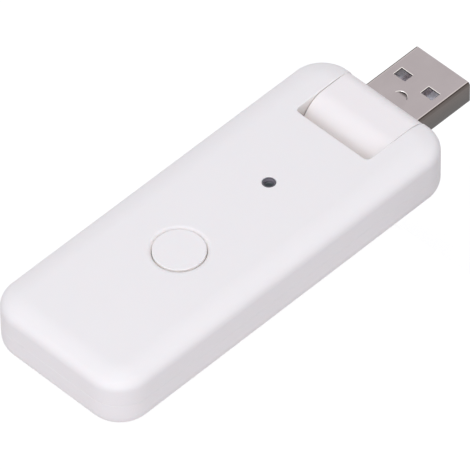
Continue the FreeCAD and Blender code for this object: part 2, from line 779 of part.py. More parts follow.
def make_washers():
    for side, y in (("left", "slot_half + ear_wall + washer_clearance"), ("right", "-flange_start")):
        body = new_body("friction_washer_" + side)
        start = ("hinge_x", y, "hinge_height")
        add_round(body, f"washer_{side}", start, "flange_radius", "washer_thickness", "Y")
        start = ("hinge_x", f"{y} - {overrun}", "hinge_height")
        hole = ("bearing_radius", f"washer_thickness + {2 * overrun}")
        add_round(body, f"washer_hole_{side}", start, *hole, "Y", cut=True)


# Plug


def make_usb_shell():
    body = new_body("usb_shell")
    length = "plug_reach + plug_inside"
    shift = ("-plug_width / 2", "hinge_height - plug_height / 2", "plug_back")
    outside = ("plug_width", "plug_height", "plug_corner_radius")
    outline = rounded_rectangle(body, "shell_outline", "YZ_Plane", shift, *outside)
    extrude(body, "shell_outside", outline, length)
    shift = ("-plug_inner_width / 2", "hinge_height - plug_inner_height / 2", "plug_back")
    inside = ("plug_inner_width", "plug_inner_height", "plug_corner_radius - plug_sheet")
    outline = rounded_rectangle(body, "shell_inline", "YZ_Plane", shift, *inside)
    extrude(body, "shell_inside", outline, length, cut=True)
    start_x = "plug_tip - window_setback - window_length"
    for side, middle in (("left", "window_pitch / 2"), ("right", "-window_pitch / 2")):
        corner = (start_x, f"{middle} - window_width / 2", "hinge_height - plug_height")
        window = ("window_length", "window_width", "2 * plug_height")
        add_block(body, "windows_" + side, corner, *window, cut=True)

    # a half-moon tongue is cut free on its round side and pressed down to grip the insulator
    outline = half_moon(body, "latch_hole", "latch_width", "latch_length")
    extrude(body, "latch_hole_cut", outline, "2 * plug_sheet", cut=True).Reversed = False
    tilt = Rotation(Vector(0, 1, 0), sizes["latch_angle"])
    free = ("(latch_width - 2 * latch_gap)", "(latch_length - latch_gap)")
    outline = half_moon(body, "latch", *free, tilt)
    outline.setExpression("AttachmentOffset.Rotation.Angle", formula("latch_angle"))
    extrude(body, "latch_tongue", outline, "plug_sheet").Reversed = True


def half_moon(body, name, chord, depth, tilt=Rotation()):
    """A chord across the plug's top, closed by an arc that bulges towards the tip."""
    shift = ("latch_start", "0", "hinge_height + plug_height / 2")
    sketch = new_sketch(body, name + "_outline", "XY_Plane", shift, tilt)
    arc_radius = f"({chord} * {chord} / 4 + {depth} * {depth}) / (2 * {depth})"
    half_chord, radius = number(f"{chord} / 2"), number(arc_radius)
    centre = Vector(number(depth) - radius, 0)
    half_angle = math.atan2(half_chord, -centre.x)
    circle = Part.Circle(centre, Vector(0, 0, 1), radius)
    sketch.addGeometry(Part.ArcOfCircle(circle, -half_angle, half_angle))
    sketch.addGeometry(Part.LineSegment(Vector(0, half_chord), Vector(0, -half_chord)))
    sketch.addConstraint(Sketcher.Constraint("Coincident", 0, 2, 1, 1))
    sketch.addConstraint(Sketcher.Constraint("Coincident", 0, 1, 1, 2))
    sketch.addConstraint(Sketcher.Constraint("PointOnObject", 1, 1, -2))
    sketch.addConstraint(Sketcher.Constraint("PointOnObject", 0, 3, -1))
    sketch.addConstraint(Sketcher.Constraint("Vertical", 1))
    measure(sketch, "DistanceY", "chord", chord, 1, 2, 1, 1)
    measure(sketch, "Radius", "arc_radius", arc_radius, 0)
    return sketch


def make_usb_insulator():
    body = new_body("usb_insulator")
    half_width, half_height = "plug_inner_width / 2", "plug_inner_height / 2"
    shift = (f"-{half_width}", f"hinge_height - {half_height}", "base_back")
    base = ("plug_inner_width", "plug_inner_height", "plug_corner_radius - plug_sheet")
    outline = rounded_rectangle(body, "base_outline", "YZ_Plane", shift, *base)
    extrude(body, "insulator_base", outline, "base_front - base_back")
    shift = (f"tongue_clearance - {half_width}", f"hinge_height - {half_height}", f"base_front - {overrun}")
    tongue = ("plug_inner_width - 2 * tongue_clearance", half_height, "tongue_corner_radius")
    outline = rounded_rectangle(body, "tongue_outline", "YZ_Plane", shift, *tongue)
    extrude(body, "tongue", outline, f"mouth_depth - tongue_setback + {overrun}")

    # the notch leaves room for the shell's pressed-down tongue
    side = "(latch_width / 2 + tongue_clearance)"
    floor = f"hinge_height + {half_height} - latch_notch_depth"
    corner = ("latch_start - latch_notch_clearance", f"-{side}", floor)
    length = f"latch_cover + latch_notch_clearance + {overrun}"
    notch = (length, f"2 * {side}", f"latch_notch_depth + {overrun}")
    add_block(body, "latch_notch", corner, *notch, cut=True)
    for name, y, setback in contact_places():
        corner = (f"base_back - {overrun}", f"{y} - contact_width / 2", "hinge_height")
        channel = (f"base_front - base_back + {2 * overrun}", "contact_width", "contact_thickness")
        add_block(body, name + "_channel", corner, *channel, cut=True)


def contact_places():
    yield "power_contact", "contact_outer", "contact_outer_setback"
    yield "data_minus_contact", "contact_inner", "contact_inner_setback"
    yield "data_plus_contact", "-contact_inner", "contact_inner_setback"
    yield "ground_contact", "-contact_outer", "contact_outer_setback"


def make_contacts():
    for name, y, setback in contact_places():
        body = new_body(name)
        corner = ("base_back - contact_tail", f"{y} - contact_width / 2", "hinge_height")
        length = f"plug_tip - {setback} - base_back + contact_tail"
        add_block(body, name + "_strip", corner, length, "contact_width", "contact_thickness")


def make_plug_board():
    body = new_body("plug_board")
    corner = ("plug_board_start", "-plug_board_width / 2", "hinge_height - plug_board_thickness")
    plate = ("base_back - plug_board_start", "plug_board_width", "plug_board_thickness")
    add_block(body, "plug_board_plate", corner, *plate)


# Wires: four side by side through the left journal, straight on the head's side, bent in the casing


wire_names = ("power_wire", "data_minus_wire", "data_plus_wire", "ground_wire")


def make_head_wires():
    for i, name in enumerate(wire_names):
        body = new_body("head_" + name)
        x = f"hinge_x + wire_pitch * {i - (len(wire_names) - 1) / 2}"
        pad = f"(plug_pad_first - plug_pad_pitch * {i})"
        length = f"slot_half + wire_split - {pad}"
        add_round(body, f"head_{name}_run", (x, pad, "wire_height"), "wire_diameter / 2", length, "Y")


def rounded_path(points):
    """Straight runs through the points with a tangent arc at each corner."""
    edges, start = [], points[0]
    for before, corner, after in zip(points, points[1:], points[2:]):
        back, on = before - corner, after - corner
        share = min(back.Length, on.Length) * sizes["wire_bend_share"]
        first, last = corner + back.normalize() * share, corner + on.normalize() * share
        half_turn = (math.pi - back.getAngle(on)) / 2
        radius = share / math.tan(half_turn)
        middle = (back + on).normalize()
        arc_top = corner + middle * (radius / math.cos(half_turn) - radius)
        edges.append(Part.LineSegment(start, first).toShape())
        edges.append(Part.Arc(first, arc_top, last).toShape())
        start = last
    return Part.Wire(edges + [Part.LineSegment(start, points[-1]).toShape()])


def make_case_wires():
    """The casing's ends meet the head's ends in the journal, turn in space, and end on the board's pads."""
    for i, name in enumerate(wire_names):
        place = i - (len(wire_names) - 1) / 2
        height, radius = number("wire_height"), number("wire_diameter / 2")
        start = Vector(number(f"hinge_x + wire_pitch * {place}"), number("slot_half + wire_split"), height)
        turn_y = number(f"flange_end + wire_channel_clearance / 2 + wire_pitch * {i + 0.5}")
        pad_x = number("board_end - pad_inset")
        pad_y = number(f"board_half_width - pad_row_inset + pad_pitch * {place}")
        pad_z = number("board_top + wire_diameter / 2")
        path = rounded_path([
            start,
            Vector(start.x, turn_y, height),
            Vector(pad_x + number("wire_drop"), turn_y, height),
            Vector(pad_x + number("wire_diameter"), pad_y, pad_z),
            Vector(pad_x - number("wire_diameter"), pad_y, pad_z),
        ])
        section = Part.Wire(Part.Circle(start, Vector(0, 1, 0), radius).toShape())
        wire = document.addObject("Part::Feature", "case_" + name)
        wire.Label = "case_" + name
        wire.Shape = path.makePipeShell([section], True, True)
        nodes.append(wire)


make_top_shell()
make_bottom_shell()
make_board()
make_radio_module()
make_chips()
make_small_parts()
make_switch()
make_button_cap()
make_light()
make_head_half("head_lower", upper=False)
make_head_half("head_upper", upper=True)
make_washers()
make_usb_shell()
make_usb_insulator()
make_contacts()
make_plug_board()
make_head_wires()
document.recompute()
make_case_wires()

document.recompute()
for item in document.Objects:
    if "Invalid" in item.State or "Error" in item.State:
        raise RuntimeError(f"{item.Label} failed: {item.State}")
for node in nodes:
    if node.Shape.isNull() or not node.Shape.isValid():
        raise RuntimeError(f"{node.Label} has no sound shape")
os.makedirs("parts", exist_ok=True)
for node in nodes:
    node.Shape.exportStep(f"parts/{node.Label}.step")
    print(node.Label, node.Shape.isValid(), round(node.Shape.Volume, 2), len(node.Shape.Solids))
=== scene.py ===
import math

import bmesh
import bpy
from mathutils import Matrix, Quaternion, Vector


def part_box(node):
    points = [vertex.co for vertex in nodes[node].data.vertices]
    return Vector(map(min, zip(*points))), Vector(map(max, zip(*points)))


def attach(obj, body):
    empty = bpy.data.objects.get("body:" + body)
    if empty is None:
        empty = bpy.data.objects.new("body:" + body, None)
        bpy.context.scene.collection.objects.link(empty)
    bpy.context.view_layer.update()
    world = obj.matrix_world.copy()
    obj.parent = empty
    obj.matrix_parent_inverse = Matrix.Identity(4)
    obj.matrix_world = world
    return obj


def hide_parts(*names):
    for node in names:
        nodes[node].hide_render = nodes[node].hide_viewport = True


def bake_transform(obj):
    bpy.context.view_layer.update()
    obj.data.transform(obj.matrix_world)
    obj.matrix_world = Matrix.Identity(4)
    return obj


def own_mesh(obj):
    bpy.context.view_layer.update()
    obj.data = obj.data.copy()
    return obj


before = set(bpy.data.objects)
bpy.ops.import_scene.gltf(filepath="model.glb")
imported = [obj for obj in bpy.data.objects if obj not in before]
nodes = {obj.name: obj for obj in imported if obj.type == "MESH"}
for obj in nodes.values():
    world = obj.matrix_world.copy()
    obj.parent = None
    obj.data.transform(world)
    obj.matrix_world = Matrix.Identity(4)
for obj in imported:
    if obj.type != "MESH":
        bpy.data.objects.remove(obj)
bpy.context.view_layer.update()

mm = 0.001
plainWhite = (1.0, 1.0, 1.0, 1.0)
# a colour mix's sockets share their names with those of its other kinds, so they go by number
rgba = {"data_type": "RGBA"}
mixFactor, mixFirst, mixSecond, mixed = 0, 6, 7, 2


def linear(hexColour):
    # an sRGB hex colour as the linear values that a shader takes
    parts = [int(hexColour[i:i + 2], 16) / 255 for i in (1, 3, 5)]
    return [c / 12.92 if c <= 0.04045 else ((c + 0.055) / 1.055) ** 2.4 for c in parts] + [1.0]


def patternScale(sizeMm):
    # a texture's scale for features of that size, with the place in metres
    return 1 / (sizeMm * mm)


def addNode(tree, kind, settings=None, inputs=None):
    # one node with its settings; each input is a plain value or the output that feeds it
    node = tree.nodes.new(kind)
    for name, value in (settings or {}).items():
        setattr(node, name, value)
    for name, value in (inputs or {}).items():
        if isinstance(value, bpy.types.NodeSocket):
            tree.links.new(value, node.inputs[name])
        else:
            node.inputs[name].default_value = value
    return node


def newMaterial(name):
    # a material with an empty tree
    material = bpy.data.materials.new(name)
    material.use_nodes = True
    material.node_tree.nodes.clear()
    return material, material.node_tree


def newObject(name, data):
    # an object at the origin, in the scene
    made = bpy.data.objects.new(name, data)
    bpy.context.scene.collection.objects.link(made)
    return made


# Moulded ABS: white with a soft satin sheen, and light that sinks in a little and warms the narrow gaps.
# Its spark-eroded grain of about 0.05 mm is too fine for the render, so it is drawn low, at 0.3 mm or more.
def mouldedAbs(name, values):
    material, tree = newMaterial(name)
    place = addNode(tree, "ShaderNodeTexCoord").outputs["Object"]
    blotch = addNode(tree, "ShaderNodeTexNoise", None, {
        "Vector": place, "Scale": patternScale(values["blotchMm"]), "Detail": 3.0,
    }).outputs["Fac"]
    colour = addNode(tree, "ShaderNodeMix", rgba, {
        mixFactor: blotch, mixFirst: linear(values["baseHex"]), mixSecond: linear(values["shadeHex"]),
    }).outputs[mixed]
    grain = addNode(tree, "ShaderNodeTexNoise", None, {
        "Vector": place, "Scale": patternScale(values["grainMm"]), "Detail": 2.0,
    }).outputs["Fac"]
    roughness = addNode(tree, "ShaderNodeMapRange", None, {
        "Value": grain,
        "To Min": values["roughness"] - values["roughnessDrift"],
        "To Max": values["roughness"] + values["roughnessDrift"],
    }).outputs["Result"]
    bump = addNode(tree, "ShaderNodeBump", None, {
        "Height": grain, "Distance": values["grainHeightMm"] * mm, "Strength": 0.5,
    }).outputs["Normal"]
    shader = addNode(tree, "ShaderNodeBsdfPrincipled", None, {
        "Base Color": colour, "Roughness": roughness, "IOR": values["ior"], "Normal": bump,
        "Subsurface Weight": values["sinkShare"], "Subsurface Radius": values["sinkPerColour"],
        "Subsurface Scale": values["sinkMm"] * mm,
    })
    addNode(tree, "ShaderNodeOutputMaterial", None, {"Surface": shader.outputs["BSDF"]})
    return material


whitePlastic = {
    "grainHeightMm": 0.004, "roughnessDrift": 0.04, "ior": 1.53,
    "sinkShare": 0.1, "sinkMm": 0.5, "sinkPerColour": (1.0, 0.62, 0.5),  # red light goes deepest
}
casingPlastic = {
    **whitePlastic,
    "baseHex": "#F8F4EF", "shadeHex": "#F6F2ED", "blotchMm": 9, "grainMm": 0.35, "roughness": 0.55,
}
headPlastic = {
    **whitePlastic,
    "baseHex": "#FBF5F0", "shadeHex": "#F9F3EE", "blotchMm": 6, "grainMm": 0.35, "roughness": 0.48,
}
buttonPlastic = {
    **whitePlastic,
    "baseHex": "#F9F5F0", "shadeHex": "#F7F3EE", "blotchMm": 5, "grainMm": 0.3, "roughness": 0.55,
}


# Rolled steel sheet with dull nickel on it: warm grey, with faint streaks along the rolling direction, and
# painted light and shade on its folds, walls and latch tongue.
# Rolling streaks are a few hundredths of a millimetre wide, so they are drawn at 0.22 mm to show.
def rolledNickelSteel(name, values):
    material, tree = newMaterial(name)
    coordinates = addNode(tree, "ShaderNodeTexCoord")
    place = coordinates.outputs["Object"]
    stretched = addNode(tree, "ShaderNodeMapping", None, {
        "Vector": place, "Scale": (values["streakRatio"], 1.0, 1.0),
    }).outputs["Vector"]
    streaks = addNode(tree, "ShaderNodeTexNoise", None, {
        "Vector": stretched, "Scale": patternScale(values["streakMm"]), "Detail": 3.0, "Roughness": 0.6,
    }).outputs["Fac"]
    clouds = addNode(tree, "ShaderNodeTexNoise", None, {
        "Vector": place, "Scale": patternScale(values["cloudMm"]), "Detail": 2.0,
    }).outputs["Fac"]
    position = addNode(tree, "ShaderNodeSeparateXYZ", None, {"Vector": place})
    facing = addNode(tree, "ShaderNodeSeparateXYZ", None, {"Vector": coordinates.outputs["Normal"]})
    fromMiddle, level = [
        addNode(tree, "ShaderNodeMath", {"operation": "ABSOLUTE"}, {0: part}).outputs["Value"]
        for part in (position.outputs["Y"], facing.outputs["Z"])
    ]
    tilted, bent, steep = [
        addNode(tree, "ShaderNodeMapRange", None, {
            "Value": level, "From Min": start, "From Max": full,
        }).outputs["Result"]
        for start, full in (values["tiltedLevels"], values["bentLevels"], values["steepLevels"])
    ]
    # a fold gets a painted highlight where it starts and a painted dark reflection just below that
    atFold = addNode(tree, "ShaderNodeMath", {"operation": "GREATER_THAN"}, {
        0: fromMiddle, 1: values["foldFromMm"] * mm,
    }).outputs["Value"]
    foldPaintedHighlight, foldPaintedReflection = [
        addNode(tree, "ShaderNodeMath", {"operation": "MULTIPLY"}, {0: part, 1: atFold}).outputs["Value"]
        for part in (tilted, bent)
    ]
    # the half-moon tongue is the one tilted face away from the folds, in painted shade that darkens towards
    # its sunken edge
    tongue = addNode(tree, "ShaderNodeMath", {"operation": "SUBTRACT"}, {
        0: tilted, 1: foldPaintedHighlight,
    }).outputs["Value"]
    sunk, low = [
        addNode(tree, "ShaderNodeMapRange", None, {
            "Value": position.outputs["Z"], "From Min": values[start] * mm, "From Max": values[full] * mm,
        }).outputs["Result"]
        for start, full in (("tongueRootMm", "tongueEdgeMm"), ("wallTopMm", "wallFootMm"))
    ]
    # painted shade on the tongue, by its depth
    pressed = addNode(tree, "ShaderNodeMath", {"operation": "MULTIPLY"}, {
        0: tongue, 1: sunk,
    }).outputs["Value"]
    # each look covers the one before it where its share is 1, on the walls and then on the whole sheet
    # the upright walls are painted dark as painted shade, darker still towards their foot
    wall, colour = linear(values["paintedWallHex"]), linear(values["faceHex"])
    for share, look in ((low, linear(values["paintedWallFootHex"])), (streaks, linear(values["paintedWallShadeHex"]))):
        wall = addNode(tree, "ShaderNodeMix", rgba, {
            mixFactor: share, mixFirst: wall, mixSecond: look,
        }).outputs[mixed]
    for share, look in (
        (clouds, linear(values["faceShadeHex"])), (pressed, linear(values["tonguePaintedShadeHex"])),
        (foldPaintedHighlight, linear(values["rimHex"])), (foldPaintedReflection, linear(values["bendPaintedReflectionHex"])), (steep, wall),
    ):
        colour = addNode(tree, "ShaderNodeMix", rgba, {
            mixFactor: share, mixFirst: colour, mixSecond: look,
        }).outputs[mixed]
    roughness = addNode(tree, "ShaderNodeMapRange", None, {
        "Value": streaks,
        "To Min": values["roughness"] - values["roughnessDrift"],
        "To Max": values["roughness"] + values["roughnessDrift"],
    }).outputs["Result"]
    bump = addNode(tree, "ShaderNodeBump", None, {
        "Height": streaks, "Distance": values["streakHeightMm"] * mm, "Strength": 0.6,
    }).outputs["Normal"]
    shader = addNode(tree, "ShaderNodeBsdfPrincipled", None, {
        "Base Color": colour, "Metallic": 1.0, "Roughness": roughness, "Normal": bump,
    })
    addNode(tree, "ShaderNodeOutputMaterial", None, {"Surface": shader.outputs["BSDF"]})
    return material


plugSteel = {
    "faceHex": "#B3AAAB", "faceShadeHex": "#AAA1A2", "cloudMm": 3.5,
    "streakMm": 0.22, "streakRatio": 0.06, "streakHeightMm": 0.004, "roughness": 0.33, "roughnessDrift": 0.07,
    # where each look starts and is full, from 1 on a level face to 0 on an upright one
    "tiltedLevels": (0.997, 0.99), "bentLevels": (0.975, 0.93), "steepLevels": (0.84, 0.72),
    # the folds' painted highlight (rimHex) and the painted dark reflection just below it
    "foldFromMm": 5.2, "rimHex": "#D3C9C6", "bendPaintedReflectionHex": "#443C39",
    # the latch tongue's painted shade, darkest at its sunken edge
    "tongueRootMm": 7.54, "tongueEdgeMm": 7.42, "tonguePaintedShadeHex": "#7B7372",
    # the upright walls' painted shade, darker towards their foot
    "wallTopMm": 7.2, "wallFootMm": 4.2,
    "paintedWallHex": "#766C68", "paintedWallFootHex": "#5F5C5B", "paintedWallShadeHex": "#5C5855",
}


# Small parts' materials share one plain layout: a colour that drifts, a grain, and a roughness.
# Their real grain is a few hundredths of a millimetre, so it is drawn at 0.2 mm or more to show.
def plainSurface(name, values):
    material, tree = newMaterial(name)
    place = addNode(tree, "ShaderNodeTexCoord").outputs["Object"]
    grain = addNode(tree, "ShaderNodeTexNoise", None, {
        "Vector": place, "Scale": patternScale(values["grainMm"]), "Detail": 3.0,
    }).outputs["Fac"]
    colour = addNode(tree, "ShaderNodeMix", rgba, {
        mixFactor: grain, mixFirst: linear(values["baseHex"]), mixSecond: linear(values["shadeHex"]),
    }).outputs[mixed]
    bump = addNode(tree, "ShaderNodeBump", None, {
        "Height": grain, "Distance": values["grainMm"] * grainDepthShare * mm, "Strength": 0.5,
    }).outputs["Normal"]
    inputs = {"Base Color": colour, "Roughness": values["roughness"], "Normal": bump}
    if values.get("metal"):
        inputs["Metallic"] = 1.0
    else:
        inputs["IOR"] = values["ior"]
    shader = addNode(tree, "ShaderNodeBsdfPrincipled", None, inputs)
    addNode(tree, "ShaderNodeOutputMaterial", None, {"Surface": shader.outputs["BSDF"]})
    return material


grainDepthShare = 0.02  # of the grain's width
plainMaterials = {
    # the same steel painted brighter than the sheet's face: painted highlight on the punched rims, painted
    # light on the inside faces
    "nickelSteelPaintedLight": {
        "baseHex": "#F4EEEA", "shadeHex": "#E9E2DE", "grainMm": 0.5, "roughness": 0.3, "metal": True,
    },
    # and the punched cut walls, painted dark and dull as painted shade
    "steelCutPaintedShade": {
        "baseHex": "#2E2A29", "shadeHex": "#262322", "grainMm": 0.3, "roughness": 0.6, "metal": True,
    },
    # glass-filled polyester, moulded: a cool, matt white that looks grey in the shell's shade
    "pbtMoulded": {
        "baseHex": "#F3F4FA", "shadeHex": "#ECEEF6", "grainMm": 0.4, "roughness": 0.5, "ior": 1.57,
    },
    # gold over nickel, plated: a thin warm yellow that still shows the stamped metal's grain
    "goldPlated": {
        "baseHex": "#D8B56C", "shadeHex": "#C9A45C", "grainMm": 0.3, "roughness": 0.26, "metal": True,
    },
    # tin plate, pressed: pale and slightly frosted
    "tinPlated": {
        "baseHex": "#C9C9C5", "shadeHex": "#B9B9B6", "grainMm": 0.6, "roughness": 0.34, "metal": True,
    },
    # spring steel, rolled: a bright and even grey
    "springSteelRolled": {
        "baseHex": "#BDBDBD", "shadeHex": "#ABABAD", "grainMm": 0.25, "roughness": 0.22, "metal": True,
    },
    # epoxy around a chip, moulded: charcoal with a dusty grain
    "epoxyMoulded": {
        "baseHex": "#2B2B2D", "shadeHex": "#222225", "grainMm": 0.2, "roughness": 0.6, "ior": 1.55,
    },
    # epoxy around a tantalum capacitor, moulded: dull amber
    "amberEpoxyMoulded": {
        "baseHex": "#D9A23C", "shadeHex": "#CC9430", "grainMm": 0.3, "roughness": 0.5, "ior": 1.55,
    },
    # ferrite, pressed and fired: dark grey with a mineral sparkle too fine to draw
    "ferriteFired": {
        "baseHex": "#3A3B3F", "shadeHex": "#2F3034", "grainMm": 0.2, "roughness": 0.45, "ior": 1.6,
    },
    # silicone over a light-emitting chip, cast: pale yellow and glossy
    "phosphorCast": {
        "baseHex": "#EFE6B0", "shadeHex": "#E7DC9C", "grainMm": 0.5, "roughness": 0.25, "ior": 1.45,
    },
    # acetal, moulded in its natural colour: waxy off-white
    "acetalMoulded": {
        "baseHex": "#E9E7DF", "shadeHex": "#E2DFD5", "grainMm": 0.5, "roughness": 0.38, "ior": 1.48,
    },
}
# wire insulation of soft vinyl, drawn: an even colour with a dull gloss
vinylHexes = {
    "redVinylDrawn": ("#C2241C", "#B01E17"),
    "whiteVinylDrawn": ("#E8E8E4", "#DFDFDA"),
    "greenVinylDrawn": ("#1E9A44", "#1A8A3C"),
    "blackVinylDrawn": ("#262628", "#1E1E20"),
}
for name, (baseHex, shadeHex) in vinylHexes.items():
    plainMaterials[name] = {
        "baseHex": baseHex, "shadeHex": shadeHex, "grainMm": 0.5, "roughness": 0.42, "ior": 1.53,
    }


# Stamped bronze, nickel plated: a dull silver, and soft yellow only where gold takes the socket springs' rub.
# Its stamped grain is drawn at 0.3 mm, coarser than it is, to show.
def goldTippedNickel(name, values):
    material, tree = newMaterial(name)
    place = addNode(tree, "ShaderNodeTexCoord").outputs["Object"]
    along = addNode(tree, "ShaderNodeSeparateXYZ", None, {"Vector": place}).outputs["X"]
    rubbed = addNode(tree, "ShaderNodeMapRange", None, {
        "Value": along,
        "From Min": values["goldFromMm"] * mm,
        "From Max": (values["goldFromMm"] + values["goldFadeMm"]) * mm,
    }).outputs["Result"]
    grain = addNode(tree, "ShaderNodeTexNoise", None, {
        "Vector": place, "Scale": patternScale(values["grainMm"]), "Detail": 2.0,
    }).outputs["Fac"]
    colour = linear(values["nickelHex"])
    for share, look in ((grain, linear(values["nickelShadeHex"])), (rubbed, linear(values["goldHex"]))):
        colour = addNode(tree, "ShaderNodeMix", rgba, {
            mixFactor: share, mixFirst: colour, mixSecond: look,
        }).outputs[mixed]
    roughness = addNode(tree, "ShaderNodeMapRange", None, {
        "Value": grain,
        "To Min": values["roughness"] - values["roughnessDrift"],
        "To Max": values["roughness"] + values["roughnessDrift"],
    }).outputs["Result"]
    shader = addNode(tree, "ShaderNodeBsdfPrincipled", None, {
        "Base Color": colour, "Metallic": 1.0, "Roughness": roughness,
    })
    addNode(tree, "ShaderNodeOutputMaterial", None, {"Surface": shader.outputs["BSDF"]})
    return material


contactMetal = {
    "nickelHex": "#C9C3CB", "nickelShadeHex": "#BAB4BD", "grainMm": 0.3,
    "roughness": 0.62, "roughnessDrift": 0.05,
    "goldFromMm": 40.8, "goldFadeMm": 0.15, "goldHex": "#D8B56C",
}


# Acrylic with a smoke tint, moulded and polished: the dish's wall is painted much lighter than its rim, as
# painted light, while the floor stays dark. The tint drifts over 1.2 mm.
def smokedAcrylic(name, values):
    material, tree = newMaterial(name)
    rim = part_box(values["node"])[1].z
    place = addNode(tree, "ShaderNodeTexCoord").outputs["Object"]
    height = addNode(tree, "ShaderNodeSeparateXYZ", None, {"Vector": place}).outputs["Z"]
    inDish, atFloor = [
        addNode(tree, "ShaderNodeMapRange", None, {
            "Value": height, "From Min": rim - start * mm, "From Max": rim - full * mm,
        }).outputs["Result"]
        for start, full in (values["wallDepthsMm"], values["floorDepthsMm"])
    ]
    drift = addNode(tree, "ShaderNodeTexNoise", None, {
        "Vector": place, "Scale": patternScale(values["driftMm"]), "Detail": 2.0,
    }).outputs["Fac"]
    # the dish's wall in painted light, with a drifting tint
    wall = addNode(tree, "ShaderNodeMix", rgba, {
        mixFactor: drift, mixFirst: linear(values["paintedWallHex"]), mixSecond: linear(values["paintedWallShadeHex"]),
    }).outputs[mixed]
    colour = linear(values["rimHex"])
    for share, look in ((inDish, wall), (atFloor, linear(values["floorHex"]))):
        colour = addNode(tree, "ShaderNodeMix", rgba, {
            mixFactor: share, mixFirst: colour, mixSecond: look,
        }).outputs[mixed]
    shader = addNode(tree, "ShaderNodeBsdfPrincipled", None, {
        "Base Color": colour, "Roughness": values["roughness"], "IOR": values["ior"],
    })
    addNode(tree, "ShaderNodeOutputMaterial", None, {"Surface": shader.outputs["BSDF"]})
    return material


lightPipe = {
    "node": "light_pipe", "driftMm": 1.2, "roughness": 0.34, "ior": 1.49, "rimHex": "#615E64",
    # how far below the rim each look starts and is full; the dish is 0.9 mm deep
    # the dish's wall colours are painted light
    "wallDepthsMm": (0.03, 0.12), "paintedWallHex": "#AEA7AF", "paintedWallShadeHex": "#9D979E",
    "floorDepthsMm": (0.5, 0.9), "floorHex": "#3F4749",
}


# Solder mask over glass cloth: a glossy coat in which the cloth's weave shows as a faint relief.
# The weave's threads are about 0.4 mm apart, and copper tracks under the mask read as paler lines.
def solderMask(name, values):
    material, tree = newMaterial(name)
    place = addNode(tree, "ShaderNodeTexCoord").outputs["Object"]
    rowsPerUnit = 4  # of a brick texture
    weave = addNode(tree, "ShaderNodeTexBrick", {"offset": 0.5}, {
        "Vector": place, "Scale": patternScale(values["threadMm"] * rowsPerUnit), "Mortar Size": 0.03,
        "Color1": plainWhite, "Color2": (0.85, 0.85, 0.85, 1), "Mortar": (0.4, 0.4, 0.4, 1),
    }).outputs["Color"]
    tracks = addNode(tree, "ShaderNodeTexVoronoi", {"distance": "MANHATTAN", "feature": "F1"}, {
        "Vector": place, "Scale": patternScale(values["trackMm"]),
    }).outputs["Distance"]
    clear, covered = values["trackDistances"]
    copper = addNode(tree, "ShaderNodeMapRange", None, {
        "Value": tracks, "From Min": clear, "From Max": covered,
    }).outputs["Result"]
    colour = addNode(tree, "ShaderNodeMix", rgba, {
        mixFactor: copper, mixFirst: linear(values["baseHex"]), mixSecond: linear(values["trackHex"]),
    }).outputs[mixed]
    bump = addNode(tree, "ShaderNodeBump", None, {
        "Height": weave, "Distance": values["weaveHeightMm"] * mm, "Strength": 0.4,
    }).outputs["Normal"]
    shader = addNode(tree, "ShaderNodeBsdfPrincipled", None, {
        "Base Color": colour, "Roughness": values["roughness"], "IOR": values["ior"], "Normal": bump,
    })
    addNode(tree, "ShaderNodeOutputMaterial", None, {"Surface": shader.outputs["BSDF"]})
    return material


boardMask = {
    "threadMm": 0.4, "weaveHeightMm": 0.004, "roughness": 0.3, "ior": 1.52,
    "trackDistances": (0.42, 0.46),  # from a cell's middle, in cells: where a track's edge starts and ends
}
mainBoardMask = {**boardMask, "baseHex": "#17653A", "trackHex": "#238A50", "trackMm": 1.1}
moduleMask = {**boardMask, "baseHex": "#1B3F86", "trackHex": "#2C58AC", "trackMm": 0.9}


# Fired ceramic, tinned at its ends: matt tan or near black blocks with a bright cap at each end, in step
# with the blocks' pitch. The fired grain is drawn at 0.25 mm, coarser than it is, to show.
def tinnedCeramic(name, values):
    material, tree = newMaterial(name)
    place = addNode(tree, "ShaderNodeTexCoord").outputs["Object"]
    along = addNode(tree, "ShaderNodeSeparateXYZ", None, {"Vector": place}).outputs["X"]
    # from the first block's middle, and then from the nearest block's middle
    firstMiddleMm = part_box(values["node"])[0].x / mm + values["lengthMm"] / 2
    shifted = addNode(tree, "ShaderNodeMath", {"operation": "SUBTRACT"}, {
        0: along, 1: firstMiddleMm * mm,
    }).outputs["Value"]
    folded = addNode(tree, "ShaderNodeMath", {"operation": "PINGPONG"}, {
        0: shifted, 1: values["pitchMm"] / 2 * mm,
    }).outputs["Value"]
    atEnd = addNode(tree, "ShaderNodeMath", {"operation": "GREATER_THAN"}, {
        0: folded, 1: (values["lengthMm"] / 2 - values["tinnedMm"]) * mm,
    }).outputs["Value"]
    grain = addNode(tree, "ShaderNodeTexNoise", None, {
        "Vector": place, "Scale": patternScale(values["grainMm"]), "Detail": 2.0,
    }).outputs["Fac"]
    colour = linear(values["baseHex"])
    for share, look in ((grain, linear(values["shadeHex"])), (atEnd, linear(values["tinHex"]))):
        colour = addNode(tree, "ShaderNodeMix", rgba, {
            mixFactor: share, mixFirst: colour, mixSecond: look,
        }).outputs[mixed]
    smoothest, roughest = values["roughnesses"]
    roughness = addNode(tree, "ShaderNodeMapRange", None, {
        "Value": grain, "To Min": smoothest, "To Max": roughest,
    }).outputs["Result"]
    shader = addNode(tree, "ShaderNodeBsdfPrincipled", None, {
        "Base Color": colour, "Metallic": atEnd, "Roughness": roughness,
    })
    addNode(tree, "ShaderNodeOutputMaterial", None, {"Surface": shader.outputs["BSDF"]})
    return material


ceramicBlocks = {
    "lengthMm": 1.0, "pitchMm": 1.8, "tinnedMm": 0.22, "grainMm": 0.25, "roughnesses": (0.3, 0.45),
    "tinHex": "#C9C9C5",
}
capacitors = {**ceramicBlocks, "node": "ceramic_capacitors", "baseHex": "#B59A78", "shadeHex": "#A88C6A"}
resistors = {**ceramicBlocks, "node": "chip_resistors", "baseHex": "#303034", "shadeHex": "#26262A"}

